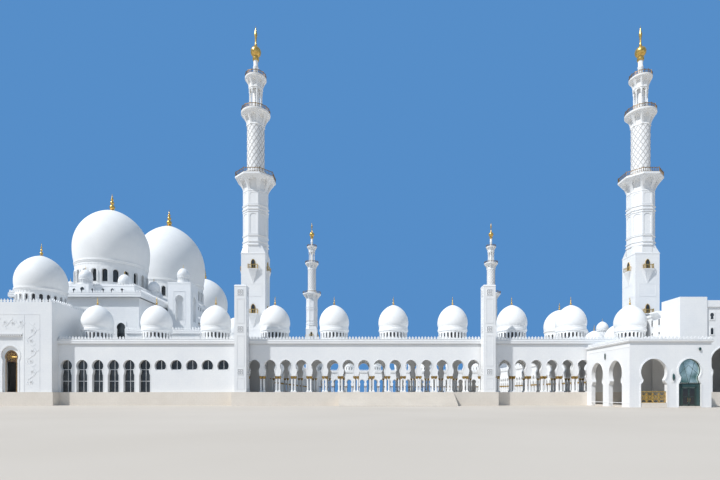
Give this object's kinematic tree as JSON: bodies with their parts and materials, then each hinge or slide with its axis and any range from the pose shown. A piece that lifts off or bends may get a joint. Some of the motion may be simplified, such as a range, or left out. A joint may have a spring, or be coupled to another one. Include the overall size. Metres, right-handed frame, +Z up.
{
  "type": "1:10 scale model of a domed mosque with an arcaded courtyard",
  "caption": "White marble mosque at 1:10 scale: arcaded court, tall minarets, domed prayer hall, portals, gatehouses and a wing with a double door.",
  "frame": {"origin": "middle of the plan's box at ground level", "axes": "+X runs east along the main front, +Y runs north away from the main front, +Z is up"},
  "size_m": [24.07, 22.82, 10.92],
  "materials": {
    "marble": "honed white marble, satin",
    "stone": "honed pale stone",
    "gold": "gilt metal",
    "glass": "dark tinted glass in a dark metal frame"
  },
  "bodies": {
    "building": {"podium": "stone", "south_wall_west": "marble", "south_window_glass": "glass", "south_wall_east": "marble", "south_court_wall": "marble", "south_roof": "marble", "north_wall": "marble", "north_court_wall": "marble", "north_roof": "marble", "east_wall": "marble", "east_court_wall": "marble", "east_roof": "marble", "west_court_wall": "marble", "west_roof": "marble", "hall_walls": "marble", "hall_roof": "marble", "hall_upper_walls": "marble", "hall_upper_roof": "marble", "south_great_dome": "marble", "main_great_dome": "marble", "north_great_dome": "marble", "south_far_gallery": "marble", "south_portal": "marble", "south_portal_dome": "marble", "south_hall_tower": "marble", "south_gatehouse": "marble", "south_wing_walls": "marble", "south_wing_roof": "marble", "south_west_pylon": "marble", "south_west_minaret_tower": "marble", "south_west_minaret_crown": "marble", "south_east_pylon": "marble", "south_east_minaret_tower": "marble", "south_east_minaret_crown": "marble", "north_far_gallery": "marble", "north_portal": "marble", "north_portal_dome": "marble", "north_hall_tower": "marble", "north_gatehouse": "marble", "north_wing_walls": "marble", "north_wing_roof": "marble", "north_west_pylon": "marble", "north_west_minaret_tower": "marble", "north_west_minaret_crown": "marble", "north_east_pylon": "marble", "north_east_minaret_tower": "marble", "north_east_minaret_crown": "marble", "east_crossing": "marble", "east_dome": "marble", "east_gate": "marble", "wing_floor": "stone", "wing_screen": "gold", "wing_door_frame": "glass"},
    "door_west": {"wing_door_west": "glass"},
    "door_east": {"wing_door_east": "glass"}
  },
  "joints": [
    {"name": "door_west_hinge", "type": "hinge", "parent": "building", "child": "door_west", "pos_m": [7.76225, -11.3352, 0.23], "axis": [0, 0, -1], "range_deg": [0, 90]},
    {"name": "door_east_hinge", "type": "hinge", "parent": "building", "child": "door_east", "pos_m": [8.04775, -11.3352, 0.23], "axis": [0, 0, 1], "range_deg": [0, 90]}
  ]
}
